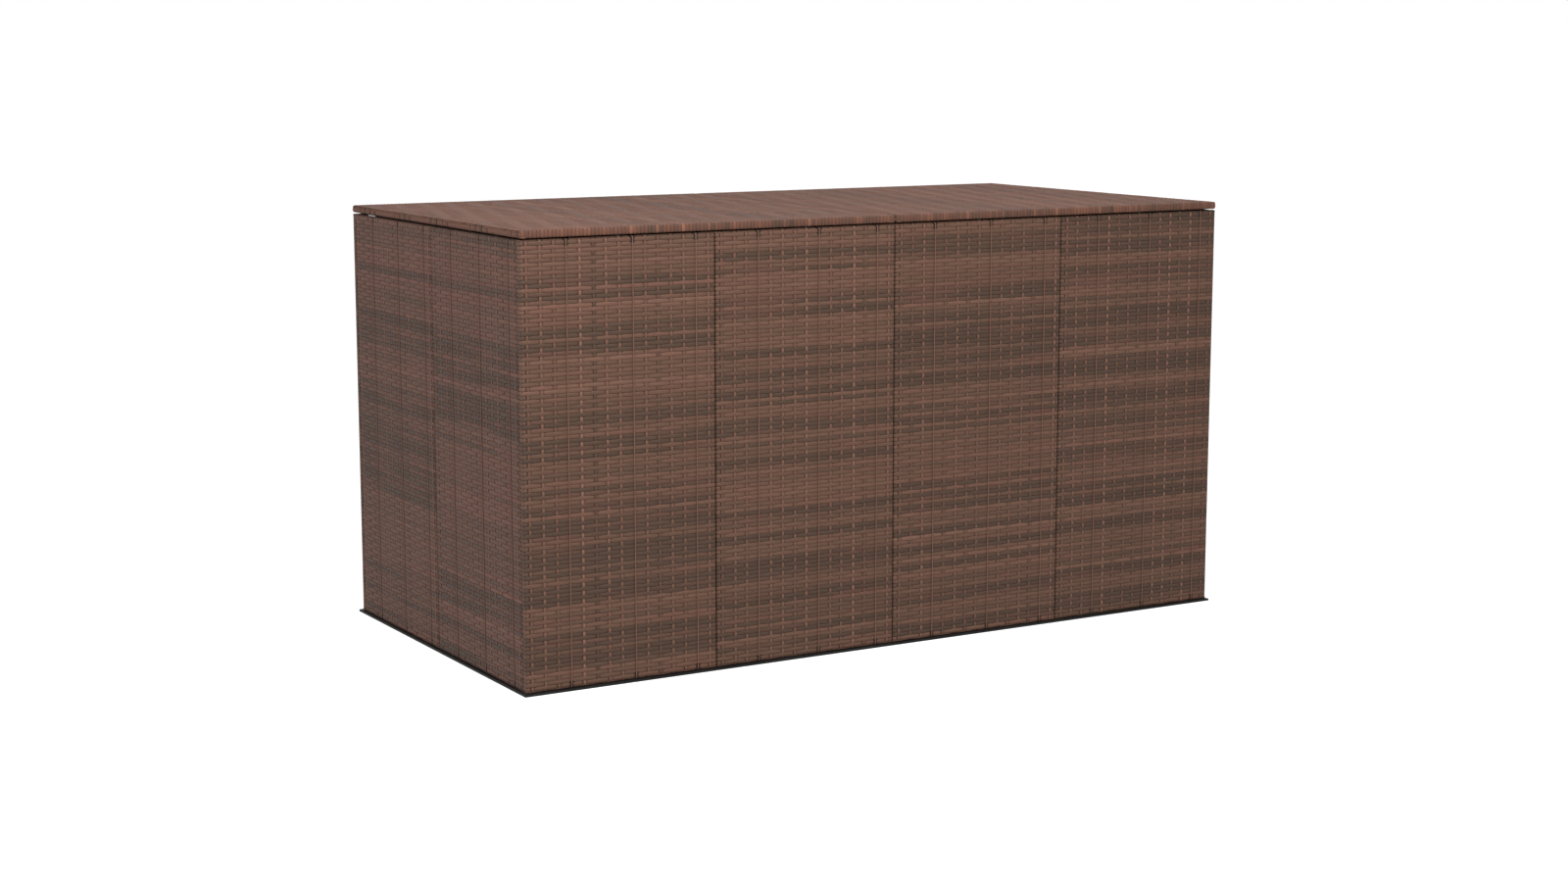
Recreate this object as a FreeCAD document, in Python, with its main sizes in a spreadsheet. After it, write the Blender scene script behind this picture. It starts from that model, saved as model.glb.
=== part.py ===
import FreeCAD, Part
import Sketcher
import os
import re

# A deck storage box: woven panels on tube frames, stood on a thin steel base, under a hinged lid.
# Millimetres. X runs along the box, the front faces -Y, +Z is up, and the origin is at the
# middle of the underside of the base.

Vector = FreeCAD.Vector
Rotation = FreeCAD.Rotation

document = FreeCAD.newDocument("deck_storage_box")
sheet = document.addObject("Spreadsheet::Sheet", "Sizes")

driving_sizes = {
    # the whole box
    "overall_length": 1940,
    "overall_depth": 1000,
    "overall_height": 1030,
    "lid_gap": 2.5,
    # steel base
    "base_thickness": 5,
    "base_lip": 6,
    "rear_lip": 10,
    "rail_ledge": 16,
    "slat_width": 40,
    "slat_count": 11,
    # woven panels on square tube
    "front_count": 4,
    "side_count": 2,
    "lid_count": 2,
    "tube_size": 15,
    "tube_wall": 1.2,
    "weave_thickness": 1.5,
    "panel_seam": 1.6,
    "corner_seam": 0.4,
    "panel_bars": 2,
    "lid_bars": 5,
    # bolts and screws
    "bolt_radius": 3,
    "bolt_head_radius": 5,
    "bolt_head_height": 3,
    "nut_height": 5,
    "bolt_inset": 120,
    "corner_bolt_offset": 40,
    "screw_radius": 2,
    "screw_head_radius": 3.5,
    "screw_head_height": 1.8,
    "flat_head_height": 1.2,
    "fastener_clearance": 0.2,
    "bolt_sink": 0.5,
    "bolt_end": 1,
    "thread_run": 5,
    # hinges
    "hinge_count": 4,
    "hinge_width": 80,
    "hinge_inset": 150,
    "plate_thickness": 2,
    "body_leaf_height": 26,
    "lid_leaf_height": 14,
    "knuckle_radius": 4,
    "knuckle_setback": 0.3,
    "knuckle_play": 0.4,
    "pin_radius": 2,
    "pin_head_radius": 3,
    "pin_head_height": 1.2,
    "pin_clearance": 0.05,
    "hinge_screw_spacing": 25,
    # gas struts
    "strut_reach": 130,
    "strut_drop": 15,
    "strut_fall": 219,
    "strut_stand_off": 20,
    "strut_eye_radius": 8,
    "strut_eye_thickness": 10,
    "strut_stud_radius": 4,
    "strut_collar_radius": 6,
    "strut_clip_radius": 5.5,
    "strut_clip_height": 1.5,
    "strut_side_play": 0.3,
    "strut_open_gap": 0.4,
    "strut_neck_length": 14,
    "neck_overlap": 1,
    "cylinder_radius": 9,
    "cylinder_wall": 1.5,
    "gland_length": 8,
    "rod_radius": 4,
    "rod_showing": 12,
    "piston_height": 8,
    "piston_clearance": 0.3,
    "piston_start": 30,
    "bracket_height": 60,
    "bracket_screw_spacing": 40,
    "lid_bracket_width": 44,
    "lid_bracket_screw_spacing": 28,
    "ear_width": 20,
    "ear_setback": 1,
    # hanging liner, its straps and rods
    "liner_thickness": 3,
    "liner_drop": 21,
    "liner_floor_gap": 0.3,
    "liner_end_inset": 60,
    "strap_width": 25,
    "strap_thickness": 1.5,
    "strap_length": 66,
    "rod_bar_radius": 6,
    "flange_width": 44,
    "flange_screw_spacing": 30,
    # rubber lid stops
    "stop_radius": 6,
    "stop_clearance": 0.2,
}

# Lengths worked out from the driving sizes, by name, as formulas.
worked_out = {
    "panel_depth": "tube_size + 2*weave_thickness",
    "side_face": "overall_length/2 - base_lip",
    "front_face": "base_lip - overall_depth/2",
    "back_face": "overall_depth/2 - rear_lip",
    "body_top": "overall_height - panel_depth - lid_gap",
    "body_height": "body_top - base_thickness",
    "body_depth": "back_face - front_face",
    "front_width": "(2*side_face - (front_count - 1)*panel_seam)/front_count",
    "side_start": "front_face + panel_depth + corner_seam",
    "side_end": "back_face - panel_depth - corner_seam",
    "side_width": "(side_end - side_start - (side_count - 1)*panel_seam)/side_count",
    "lid_width": "(2*side_face - (lid_count - 1)*panel_seam)/lid_count",
    "lid_underside": "overall_height - panel_depth",
    "top_tube_height": "body_top - panel_depth/2",
    "lid_middle": "overall_height - panel_depth/2",
    "rail_width": "base_lip + panel_depth + rail_ledge",
    "rear_rail_width": "rear_lip + panel_depth + rail_ledge",
    "hinge_axis_y": "back_face + knuckle_setback + knuckle_radius",
    "hinge_axis_z": "body_top + lid_gap/2",
    "wall_inside": "side_face - panel_depth",
    "front_inside": "front_face + panel_depth",
    "back_inside": "back_face - panel_depth",
    "strut_foot_y": "side_end - panel_depth/2",
    "strut_foot_z": "hinge_axis_z - strut_fall",
    "strut_head_y": "hinge_axis_y - strut_reach",
    "strut_head_z": "hinge_axis_z - strut_drop",
    "strut_run": "strut_foot_y - strut_head_y",
    "strut_rise": "strut_head_z - strut_foot_z",
    "strut_length": "hypot(strut_run; strut_rise)",
    "cylinder_end": "strut_length - strut_neck_length - rod_showing",
    "bolt_grip": "2*(tube_size + weave_thickness) + panel_seam",
    "liner_end": "wall_inside - liner_end_inset",
    "liner_top": "body_top - liner_drop",
    "liner_floor": "base_thickness + liner_floor_gap",
    "liner_front": "front_inside + strap_thickness",
    "liner_back": "back_inside - strap_thickness",
}

for row, (size_name, size_value) in enumerate(driving_sizes.items(), start=1):
    sheet.set(f"A{row}", size_name)
    sheet.set(f"B{row}", str(size_value))
    sheet.setAlias(f"B{row}", size_name)
document.recompute()


def formula(text):
    """The text with every name replaced by what it stands for, down to cells of the sheet."""

    def meaning(match):
        word = match.group(0)
        if word in driving_sizes:
            return f"Sizes.{word}"
        if word in worked_out:
            return f"({formula(worked_out[word])})"
        return word

    return re.sub(r"[a-z][a-z_]+", meaning, str(text))


def count_of(size_name):
    return int(sheet.get(size_name))


def bind(piece, **lengths):
    for property_name, text in lengths.items():
        piece.setExpression(property_name, formula(text))


def place(piece, corner, turn=None):
    if turn is not None:
        piece.Placement = FreeCAD.Placement(Vector(), turn)
    for axis, text in zip("xyz", corner):
        piece.setExpression(f".Placement.Base.{axis}", formula(text))
    return piece


upright = Rotation()
along_x = Rotation(Vector(0, 1, 0), 90)
against_x = Rotation(Vector(0, 1, 0), -90)
along_y = Rotation(Vector(1, 0, 0), -90)
against_y = Rotation(Vector(1, 0, 0), 90)
half_turn = Rotation(Vector(0, 0, 1), 180)
quarter_left = Rotation(Vector(0, 0, 1), 90)
quarter_right = Rotation(Vector(0, 0, 1), -90)


def block(name, size, corner):
    piece = document.addObject("Part::Box", name)
    bind(piece, Length=size[0], Width=size[1], Height=size[2])
    return place(piece, corner)


def group(name, members):
    """Several separate solids as one piece."""
    piece = document.addObject("Part::Compound", name)
    piece.Links = members
    return piece


def copy_of(name, master, corner, turn=upright):
    return place(group(name, [master]), corner, turn)


def fused(name, members):
    piece = document.addObject("Part::MultiFuse", name)
    piece.Shapes = members
    return piece


def cut(name, base, tool):
    piece = document.addObject("Part::Cut", name)
    piece.Base = base
    piece.Tool = tool
    return piece


def turned(name, outline):
    """A body turned about Z from an outline of (radius, height) corners."""
    body = document.addObject("PartDesign::Body", name)
    sketch = body.newObject("Sketcher::SketchObject", f"{name}_outline")
    plane = next(item for item in body.Origin.OriginFeatures if item.Role == "XZ_Plane")
    sketch.AttachmentSupport = [(plane, "")]
    sketch.MapMode = "FlatFace"
    corners = [(measure(radius), measure(height)) for radius, height in outline]
    total = len(corners)
    for index, start in enumerate(corners):
        finish = corners[(index + 1) % total]
        sketch.addGeometry(Part.LineSegment(Vector(*start, 0), Vector(*finish, 0)), False)
    for index in range(total):
        sketch.addConstraint(Sketcher.Constraint("Coincident", index, 2, (index + 1) % total, 1))
    for index, (radius, height) in enumerate(outline):
        for kind, text, value in zip(("DistanceX", "DistanceY"), (radius, height), corners[index]):
            number = sketch.addConstraint(Sketcher.Constraint(kind, -1, 1, index, 1, value))
            if re.search("[a-z]", str(text)):
                sketch.setExpression(f"Constraints[{number}]", formula(text))
    revolution = body.newObject("PartDesign::Revolution", f"{name}_turned")
    revolution.Profile = sketch
    revolution.ReferenceAxis = (sketch, ["V_Axis"])
    revolution.Angle = 360
    return body


def measure(text):
    """The present value of a formula."""
    return float(sheet.evalExpression(formula(text)))


# Bolts and screws. Each kind is one turned master with a cutter for its hole, and each fastener
# is a copy of the master. A fastener's origin is under its head, and its shank runs along +Z.

class Fastener:
    def __init__(self, name, radius, head_radius, head_height, length, recess=None, nut_at=None):
        wide = f"{radius} + fastener_clearance"
        self.parts = [turned(name, [
            (0, f"-({head_height})"),
            (head_radius, f"-({head_height})"),
            (head_radius, 0),
            (radius, 0),
            (radius, length),
            (0, length),
        ])]
        if nut_at:
            self.parts.append(turned(f"{name}_nut", [
                (radius, nut_at),
                (head_radius, nut_at),
                (head_radius, f"{nut_at} + nut_height"),
                (radius, f"{nut_at} + nut_height"),
            ]))
        self.master = group(f"{name}_set", self.parts)
        hole = [(0, 0), (wide, 0), (wide, f"{length} + fastener_clearance"),
                (0, f"{length} + fastener_clearance")]
        if recess:
            pocket = f"{head_radius} + fastener_clearance"
            hole[:1] = [(0, f"-({recess})"), (pocket, f"-({recess})"), (pocket, 0)]
        self.hole = turned(f"{name}_hole", hole)


grip_past_skin = "weave_thickness + tube_wall + thread_run"

seam_bolt = Fastener("seam_bolt", "bolt_radius", "bolt_head_radius", "bolt_head_height",
                     "bolt_grip + nut_height + bolt_end", nut_at="bolt_grip")
corner_bolt = Fastener("corner_bolt", "bolt_radius", "bolt_head_radius", "bolt_head_height",
                       f"tube_size + weave_thickness + corner_seam + {grip_past_skin}")
base_bolt = Fastener("base_bolt", "bolt_radius", "bolt_head_radius", "bolt_head_height",
                     f"base_thickness - bolt_head_height - bolt_sink + {grip_past_skin}",
                     recess="bolt_head_height + bolt_sink + bolt_end")
plate_screw = Fastener("plate_screw", "screw_radius", "screw_head_radius", "screw_head_height",
                       f"plate_thickness + {grip_past_skin}")
flat_screw = Fastener("flat_screw", "screw_radius", "screw_head_radius", "flat_head_height",
                      f"plate_thickness - flat_head_height + {grip_past_skin}",
                      recess="flat_head_height + fastener_clearance")
strap_screw = Fastener("strap_screw", "screw_radius", "screw_head_radius", "screw_head_height",
                       f"strap_thickness + {grip_past_skin}")

fitted = {}       # the fasteners of each node
holes = {}        # the cutters that pass through each wall, the base, the lid or the small plates


def fasten(kind, node, places, corner, turn):
    """Puts one fastener of a kind in a node, and its hole in every place that it passes through."""
    made = fitted.setdefault(node, [])
    label = f"{node}_{len(made) + 1}"
    made.append(copy_of(label, kind.master, corner, turn))
    hole = copy_of(f"{label}_hole", kind.hole, corner, turn)
    for name in places:
        holes.setdefault(name, []).append(hole)


bolt_levels = ["base_thickness + bolt_inset", "(base_thickness + body_top)/2", "body_top - bolt_inset"]
corner_levels = [f"{level} + corner_bolt_offset" for level in bolt_levels[:2]]
corner_levels.append(f"{bolt_levels[2]} - corner_bolt_offset")
skin_to_middle = "panel_depth/2"
seam_to_head = "(panel_seam/2 + weave_thickness + tube_size)"

long_walls = {"front": f"front_face + {skin_to_middle}", "back": f"back_face - {skin_to_middle}"}
end_walls = {"left": f"-side_face + {skin_to_middle}", "right": f"side_face - {skin_to_middle}"}

# Bolts through the stiles of neighbouring panels, front, back and ends.
for wall, line in long_walls.items():
    for seam in range(1, count_of("front_count")):
        seam_x = f"-side_face + {seam}*front_width + ({seam} - 0.5)*panel_seam"
        for level in bolt_levels:
            head = (f"{seam_x} - {seam_to_head}", line, level)
            fasten(seam_bolt, "panel_bolts", [wall], head, along_x)
for wall, line in end_walls.items():
    for seam in range(1, count_of("side_count")):
        seam_y = f"side_start + {seam}*side_width + ({seam} - 0.5)*panel_seam"
        for level in bolt_levels:
            head = (line, f"{seam_y} - {seam_to_head}", level)
            fasten(seam_bolt, "panel_bolts", [wall], head, along_y)

# Bolts through the end walls' outer stiles into the front and back walls.
for wall, line in end_walls.items():
    for level in corner_levels:
        into_front = (line, "side_start + weave_thickness + tube_size", level)
        into_back = (line, "side_end - weave_thickness - tube_size", level)
        fasten(corner_bolt, "panel_bolts", [wall, "front"], into_front, against_y)
        fasten(corner_bolt, "panel_bolts", [wall, "back"], into_back, along_y)

# Bolts up through the base into each panel's bottom tube, two to a panel.
base_bolt_shares = (0.25, 0.75)
sunk_head = "bolt_head_height + bolt_sink"
for index in range(count_of("front_count")):
    for share in base_bolt_shares:
        across = f"-side_face + {index}*(front_width + panel_seam) + {share}*front_width"
        front_spot = (across, f"front_face + {skin_to_middle}", sunk_head)
        back_spot = (across, f"back_face - {skin_to_middle}", sunk_head)
        fasten(base_bolt, "base_bolts", ["front", "base_front"], front_spot, upright)
        fasten(base_bolt, "base_bolts", ["back", "base_back"], back_spot, upright)
for index in range(count_of("side_count")):
    for share in base_bolt_shares:
        along = f"side_start + {index}*(side_width + panel_seam) + {share}*side_width"
        left_spot = (f"-side_face + {skin_to_middle}", along, sunk_head)
        right_spot = (f"side_face - {skin_to_middle}", along, sunk_head)
        fasten(base_bolt, "base_bolts", ["left", "base_left"], left_spot, upright)
        fasten(base_bolt, "base_bolts", ["right", "base_right"], right_spot, upright)

# Bolts between the two halves of the lid.
lid_bolt_shares = (0.1, 0.35, 0.65, 0.9)
for share in lid_bolt_shares:
    fasten(seam_bolt, "lid_bolts", ["lid"],
           (f"-{seam_to_head}", f"front_face + {share}*body_depth", "lid_middle"), along_x)

# Screws of the hinge leaves, driven forward into the back wall and the lid's rear edge.
hinge_spots = [f"(2*{index}/(hinge_count - 1) - 1)*(side_face - hinge_inset)"
               for index in range(count_of("hinge_count"))]
for spot in hinge_spots:
    for step in (-1, 0, 1):
        screw_x = f"{spot} + {step}*hinge_screw_spacing"
        leaf_back = "back_face + plate_thickness"
        fasten(plate_screw, "body_screws", ["back", "body_leaves"],
               (screw_x, leaf_back, "top_tube_height"), against_y)
        fasten(plate_screw, "lid_screws", ["lid", "lid_leaves"],
               (screw_x, leaf_back, "lid_middle"), against_y)

# Screws of the gas struts' brackets, of the liner's rods and of its straps. Those under the lid
# are sunk level with the bracket, because the end walls close up to it.
for wall, sign, outward in (("left", -1, against_x), ("right", 1, along_x)):
    for step in (-0.5, 0.5):
        foot = (f"{sign}*(wall_inside - plate_thickness)", "strut_foot_y",
                f"strut_foot_z + {step}*bracket_screw_spacing")
        head = (f"{sign}*(side_face - {skin_to_middle})",
                f"strut_head_y + {step}*lid_bracket_screw_spacing",
                "lid_underside - plate_thickness + flat_head_height")
        fasten(plate_screw, "body_screws", [wall, "body_brackets"], foot, outward)
        fasten(flat_screw, "lid_screws", ["lid", "lid_brackets"], head, upright)
        across = f"{sign}*liner_end + {step}*flange_screw_spacing"
        fasten(plate_screw, "body_screws", ["front", "rods"],
               (across, "front_inside + plate_thickness", "top_tube_height"), against_y)
        fasten(plate_screw, "body_screws", ["back", "rods"],
               (across, "back_inside - plate_thickness", "top_tube_height"), along_y)
for index in range(count_of("front_count")):
    middle = f"-side_face + {index}*(front_width + panel_seam) + front_width/2"
    fasten(strap_screw, "body_screws", ["front", "straps"],
           (middle, "front_inside + strap_thickness", "top_tube_height"), against_y)
    fasten(strap_screw, "body_screws", ["back", "straps"],
           (middle, "back_inside - strap_thickness", "top_tube_height"), along_y)

cutters = {name: group(f"{name}_cutters", members) for name, members in holes.items()}
nodes = {}        # every sub-part by its name


def keep(name, piece):
    piece.Label = name
    nodes[name] = piece


# Woven panels. A panel lies with its width along X and its height along Z, its outer face at
# y = 0 and its inner face at y = panel_depth. The frame is square tube; the weave covers the
# outer face, wraps the four edges and returns over the outer tubes on the inside.

def tube(name, length, corner, upright_tube):
    inner = "tube_size - 2*tube_wall"
    if upright_tube:
        outer_size = ("tube_size", "tube_size", length)
        bore_size = (inner, inner, length)
        shift = ("tube_wall", "tube_wall", "0")
    else:
        outer_size = (length, "tube_size", "tube_size")
        bore_size = (length, inner, inner)
        shift = ("0", "tube_wall", "tube_wall")
    outer = block(f"{name}_outside", outer_size, corner)
    bore = block(f"{name}_bore", bore_size, [f"{start} + {move}" for start, move in zip(corner, shift)])
    return cut(name, outer, bore)


def panel_frame(name, width, height, bars):
    skin = "weave_thickness"
    long_tube = f"{height} - 2*weave_thickness"
    rail_run = f"{width} - 2*weave_thickness - 2*tube_size"
    bar_length = f"{height} - 2*weave_thickness - 2*tube_size"
    bay = f"({rail_run} - {bars}*tube_size)/({bars} + 1)"
    inner_edge = "weave_thickness + tube_size"
    tubes = [
        tube(f"{name}_left_stile", long_tube, (skin, skin, skin), True),
        tube(f"{name}_right_stile", long_tube, (f"{width} - ({inner_edge})", skin, skin), True),
        tube(f"{name}_bottom_tube", rail_run, (inner_edge, skin, skin), False),
        tube(f"{name}_top_tube", rail_run, (inner_edge, skin, f"{height} - ({inner_edge})"), False),
    ]
    for number in range(1, count_of(bars) + 1):
        start = f"{inner_edge} + {number}*{bay} + ({number} - 1)*tube_size"
        tubes.append(tube(f"{name}_bar_{number}", bar_length, (start, skin, inner_edge), True))
    return group(name, tubes)


def panel_weave(name, width, height):
    skin = "weave_thickness"
    wrap = "panel_depth - weave_thickness"
    span = f"{width} - 2*weave_thickness"
    rise = f"{height} - 2*weave_thickness"
    inner_span = f"{span} - 2*tube_size"
    strips = {
        "face": ((width, skin, height), ("0", "0", "0")),
        "left_edge": ((skin, wrap, height), ("0", skin, "0")),
        "right_edge": ((skin, wrap, height), (f"{width} - {skin}", skin, "0")),
        "bottom_edge": ((span, wrap, skin), (skin, skin, "0")),
        "top_edge": ((span, wrap, skin), (skin, skin, f"{height} - {skin}")),
        "left_return": (("tube_size", skin, rise), (skin, wrap, skin)),
        "right_return": (("tube_size", skin, rise), (f"{width} - {skin} - tube_size", wrap, skin)),
        "bottom_return": ((inner_span, skin, "tube_size"), (f"{skin} + tube_size", wrap, skin)),
        "top_return": ((inner_span, skin, "tube_size"),
                       (f"{skin} + tube_size", wrap, f"{height} - {skin} - tube_size")),
    }
    return group(name, [block(f"{name}_{part}", *where) for part, where in strips.items()])


panel_kinds = {
    "front": ("front_width", "body_height", "panel_bars"),
    "side": ("side_width", "body_height", "panel_bars"),
    "lid": ("lid_width", "body_depth", "lid_bars"),
}
frame_masters = {}
weave_masters = {}
for kind, (width, height, bars) in panel_kinds.items():
    frame_masters[kind] = panel_frame(f"{kind}_frame_master", width, height, bars)
    weave_masters[kind] = panel_weave(f"{kind}_weave_master", width, height)


def panel(kind, wall, frame_name, weave_name, corner, turn):
    """A frame and its weave, stood in place and drilled for the fasteners of their wall."""
    for name, masters in ((frame_name, frame_masters), (weave_name, weave_masters)):
        stood = copy_of(f"{name}_stood", masters[kind], corner, turn)
        keep(name, cut(name, stood, cutters[wall]))


for index in range(count_of("front_count")):
    start = f"-side_face + {index}*(front_width + panel_seam)"
    number = index + 1
    panel("front", "front", f"front_panel_frame_{number}", f"front_weave_{number}",
          (start, "front_face", "base_thickness"), upright)
    panel("front", "back", f"back_panel_frame_{number}", f"back_weave_{number}",
          (f"{start} + front_width", "back_face", "base_thickness"), half_turn)
for index in range(count_of("side_count")):
    start = f"side_start + {index}*(side_width + panel_seam)"
    number = index + 1
    panel("side", "left", f"left_panel_frame_{number}", f"left_weave_{number}",
          ("-side_face", f"{start} + side_width", "base_thickness"), quarter_right)
    panel("side", "right", f"right_panel_frame_{number}", f"right_weave_{number}",
          ("side_face", start, "base_thickness"), quarter_left)
for index, side in enumerate(("left", "right")):
    start = f"-side_face + {index}*(lid_width + panel_seam)"
    panel("lid", "lid", f"lid_frame_{side}", f"lid_weave_{side}",
          (start, "front_face", "overall_height"), along_y)


# Steel base: four flat rails under the walls, and slats between the front and back rails.

half_length = "overall_length/2"
half_depth = "overall_depth/2"
side_rail_run = "overall_depth - rail_width - rear_rail_width"
rails = {
    "front": (("overall_length", "rail_width", "base_thickness"),
              (f"-{half_length}", f"-{half_depth}", "0")),
    "back": (("overall_length", "rear_rail_width", "base_thickness"),
             (f"-{half_length}", f"{half_depth} - rear_rail_width", "0")),
    "left": (("rail_width", side_rail_run, "base_thickness"),
             (f"-{half_length}", f"rail_width - {half_depth}", "0")),
    "right": (("rail_width", side_rail_run, "base_thickness"),
              (f"{half_length} - rail_width", f"rail_width - {half_depth}", "0")),
}
for side, (size, corner) in rails.items():
    name = f"base_rail_{side}"
    keep(name, cut(name, block(f"{name}_bar", size, corner), cutters[f"base_{side}"]))

slat_gap = "(overall_length - 2*rail_width - slat_count*slat_width)/(slat_count + 1)"
slats = []
for index in range(count_of("slat_count")):
    start = f"rail_width - {half_length} + {index + 1}*{slat_gap} + {index}*slat_width"
    slats.append(block(f"slat_{index + 1}", ("slat_width", side_rail_run, "base_thickness"),
                       (start, f"rail_width - {half_depth}", "0")))
keep("floor_slats", group("floor_slats", slats))


# Hinges. A leaf is modelled about its pin, which lies along X through the origin. The body's leaf
# hangs below the pin and has the two outer knuckles, the lid's leaf stands above with the middle one.

knuckle_width = "(hinge_width/3 - knuckle_play)"
leaf_face = "-(knuckle_radius + knuckle_setback)"
leaf_root = "(knuckle_radius + knuckle_play)"


def leaf(name, plate_height, below, knuckles):
    plate_bottom = f"-({leaf_root} + {plate_height})" if below else leaf_root
    tab_bottom = f"-{leaf_root}" if below else "0"
    solids = [block(f"{name}_plate", ("hinge_width", "plate_thickness", plate_height),
                    ("-hinge_width/2", leaf_face, plate_bottom))]
    for number in knuckles:
        start = f"{number}*hinge_width/3 - {knuckle_width}/2"
        solids.append(block(f"{name}_tab_{number + 2}", (knuckle_width, "plate_thickness", leaf_root),
                            (start, leaf_face, tab_bottom)))
        roll = document.addObject("Part::Cylinder", f"{name}_roll_{number + 2}")
        bind(roll, Radius="knuckle_radius", Height=knuckle_width)
        solids.append(place(roll, (start, "0", "0"), along_x))
    bore = document.addObject("Part::Cylinder", f"{name}_bore")
    bind(bore, Radius="pin_radius + pin_clearance", Height="hinge_width")
    place(bore, ("-hinge_width/2", "0", "0"), along_x)
    return cut(name, fused(f"{name}_solid", solids), bore)


body_leaf = leaf("body_leaf_master", "body_leaf_height", True, (-1, 1))
lid_leaf = leaf("lid_leaf_master", "lid_leaf_height", False, (0,))
pin_end = "(hinge_width/2 + pin_clearance)"
hinge_pin = turned("hinge_pin_master", [
    (0, f"-{pin_end} - pin_head_height"),
    ("pin_head_radius", f"-{pin_end} - pin_head_height"),
    ("pin_head_radius", f"-{pin_end}"),
    ("pin_radius", f"-{pin_end}"),
    ("pin_radius", pin_end),
    ("pin_head_radius", pin_end),
    ("pin_head_radius", f"{pin_end} + pin_head_height"),
    (0, f"{pin_end} + pin_head_height"),
])
pins = []
for number, spot in enumerate(hinge_spots, start=1):
    centre = (spot, "hinge_axis_y", "hinge_axis_z")
    for part, master, wall in (("body_leaf", body_leaf, "body_leaves"),
                               ("lid_leaf", lid_leaf, "lid_leaves")):
        name = f"hinge_{number}_{part}"
        keep(name, cut(name, copy_of(f"{name}_hung", master, centre), cutters[wall]))
    pins.append(copy_of(f"hinge_pin_{number}", hinge_pin, centre, along_x))
keep("hinge_pins", group("hinge_pins", pins))


# Gas struts, one inside each end wall. Brackets are modelled with +X pointing into the box from
# the wall's inner face. A strut is modelled along +Z from its lower eye, which turns about X.

stud_start = "strut_stand_off - strut_eye_thickness/2"
stud_end = "strut_stand_off + strut_eye_thickness/2"
foot_stud = turned("foot_stud", [
    (0, 0),
    ("strut_collar_radius", 0),
    ("strut_collar_radius", f"{stud_start} - strut_side_play"),
    ("strut_stud_radius", f"{stud_start} - strut_side_play"),
    ("strut_stud_radius", f"{stud_end} + strut_side_play"),
    ("strut_clip_radius", f"{stud_end} + strut_side_play"),
    ("strut_clip_radius", f"{stud_end} + strut_side_play + strut_clip_height"),
    (0, f"{stud_end} + strut_side_play + strut_clip_height"),
])
head_stud = turned("head_stud", [
    (0, 0),
    ("strut_stud_radius", 0),
    ("strut_stud_radius", f"{stud_start} - ear_setback - strut_open_gap"),
    (0, f"{stud_start} - ear_setback - strut_open_gap"),
])
foot_bracket = fused("foot_bracket", [
    block("foot_plate", ("plate_thickness", "tube_size", "bracket_height"),
          ("0", "-tube_size/2", "-bracket_height/2")),
    copy_of("foot_stud_set", foot_stud, ("0", "0", "0"), along_x),
])
ear_drop = "lid_underside - strut_head_z"
head_bracket = fused("head_bracket", [
    block("head_plate", ("panel_depth + ear_setback + plate_thickness - weave_thickness",
                         "lid_bracket_width", "plate_thickness"),
          ("weave_thickness - panel_depth", "-lid_bracket_width/2", f"{ear_drop} - plate_thickness")),
    block("head_ear", ("plate_thickness", "ear_width", f"{ear_drop} + strut_eye_radius"),
          ("ear_setback", "-ear_width/2", "-strut_eye_radius")),
    copy_of("head_stud_set", head_stud, ("ear_setback", "0", "0"), along_x),
])


def eye(name, height, bore_radius):
    """A ring about X, with its centre at a height on Z."""
    ring = document.addObject("Part::Cylinder", f"{name}_ring")
    bore = document.addObject("Part::Cylinder", f"{name}_bore")
    bind(ring, Radius="strut_eye_radius", Height="strut_eye_thickness")
    bind(bore, Radius=bore_radius, Height="strut_eye_thickness")
    for piece in (ring, bore):
        place(piece, ("-strut_eye_thickness/2", "0", height), along_x)
    return cut(name, ring, bore)


bore_radius = "cylinder_radius - cylinder_wall"
neck_foot = "strut_eye_radius - neck_overlap"
cylinder_turned = turned("cylinder_turned", [
    (0, neck_foot),
    ("rod_radius", neck_foot),
    ("rod_radius", "strut_neck_length"),
    ("cylinder_radius", "strut_neck_length"),
    ("cylinder_radius", "cylinder_end"),
    ("rod_radius + pin_clearance", "cylinder_end"),
    ("rod_radius + pin_clearance", "cylinder_end - gland_length"),
    (bore_radius, "cylinder_end - gland_length"),
    (bore_radius, "strut_neck_length + 2*cylinder_wall"),
    (0, "strut_neck_length + 2*cylinder_wall"),
])
rod_turned = turned("rod_turned", [
    (0, "piston_start"),
    (f"{bore_radius} - piston_clearance", "piston_start"),
    (f"{bore_radius} - piston_clearance", "piston_start + piston_height"),
    ("rod_radius", "piston_start + piston_height"),
    ("rod_radius", f"strut_length - ({neck_foot})"),
    (0, f"strut_length - ({neck_foot})"),
])
foot_eye = eye("foot_eye", "0", "strut_stud_radius + pin_clearance")
head_eye = eye("head_eye", "strut_length", "strut_stud_radius + strut_side_play")
strut_cylinder = fused("strut_cylinder", [foot_eye, cylinder_turned])
strut_rod = fused("strut_rod", [head_eye, rod_turned])

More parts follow.
